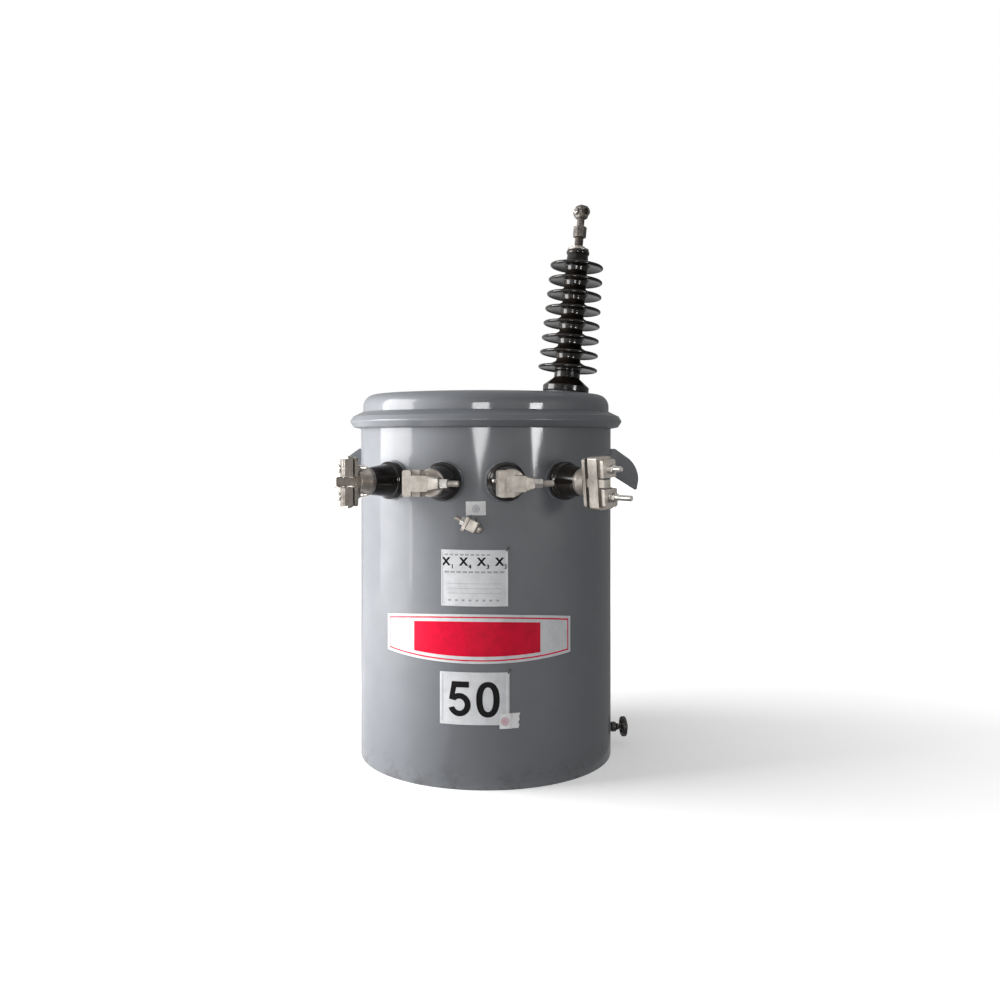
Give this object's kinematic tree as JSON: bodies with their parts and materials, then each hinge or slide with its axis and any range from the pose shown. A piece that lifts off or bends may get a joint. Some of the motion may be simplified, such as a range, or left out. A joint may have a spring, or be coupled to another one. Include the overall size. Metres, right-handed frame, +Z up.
{
  "type": "single-phase pole transformer",
  "caption": "Round oil-filled pole transformer: steel tank with domed cover and band, side low-voltage bushings with cable clamps, one tilted shed bushing on top.",
  "frame": {"origin": "centre of the tank's base rim, on the surface it stands on", "axes": "+Z up along the tank, -Y out of the front with the low-voltage bushings, +Y towards the pole"},
  "size_m": [0.61, 0.6475, 1.1063],
  "materials": {
    "tank_paint": "glossy blue-grey enamel",
    "black_porcelain": "glossy near-black glaze",
    "tinned_bronze": "dull tin plating over cast bronze",
    "plated_steel": "zinc plated, satin",
    "gasket_rubber": "matt",
    "core_steel": "bare wound core steel",
    "coil_paper": "oiled insulation paper",
    "plate_white": "white enamel of the plates",
    "plate_red": "red enamel field and line",
    "plate_ink": "black printed figures",
    "sticker_paper": "matt sticker paper",
    "valve_iron": "dark grey paint"
  },
  "bodies": {
    "tank": {"coil_left": "coil_paper", "coil_right": "coil_paper", "core": "core_steel", "cover": "tank_paint", "cover_band": "tank_paint", "cover_band_bolt": "plated_steel", "cover_gasket": "gasket_rubber", "drain_body": "valve_iron", "drain_boss": "tank_paint", "earth_boss": "tank_paint", "earth_eye": "tinned_bronze", "earth_nut": "plated_steel", "hanger_lower": "tank_paint", "hanger_upper": "tank_paint", "hv_boss": "tank_paint", "hv_cap": "tinned_bronze", "hv_gasket": "gasket_rubber", "hv_insulator": "black_porcelain", "hv_nut": "plated_steel", "hv_stud": "plated_steel", "hv_terminal": "tinned_bronze", "lifting_lug_left": "tank_paint", "lifting_lug_right": "tank_paint", "lv_clamp_back_1": "tinned_bronze", "lv_clamp_back_4": "tinned_bronze", "lv_clamp_caps_1": "tinned_bronze", "lv_clamp_caps_4": "tinned_bronze", "lv_clamp_jaw_1": "tinned_bronze", "lv_clamp_jaw_4": "tinned_bronze", "lv_eye_2": "tinned_bronze", "lv_eye_3": "tinned_bronze", "lv_eye_nut_2": "plated_steel", "lv_eye_nut_3": "plated_steel", "lv_gaskets": "gasket_rubber", "lv_insulator_1": "black_porcelain", "lv_insulator_2": "black_porcelain", "lv_insulator_3": "black_porcelain", "lv_insulator_4": "black_porcelain", "lv_pads": "tank_paint", "lv_stud_1": "tinned_bronze", "lv_stud_2": "tinned_bronze", "lv_stud_3": "tinned_bronze", "lv_stud_4": "tinned_bronze", "tank_bottom": "tank_paint", "tank_shell": "tank_paint"},
    "handwheel": {"drain_handwheel": "valve_iron"}
  },
  "joints": [
    {"name": "drain_valve_turn", "type": "hinge", "parent": "tank", "child": "handwheel", "pos_m": [0.27772, 0.04897, 0.035], "axis": [0.9848, 0.1736, 0], "range_deg": [0, 810]}
  ]
}
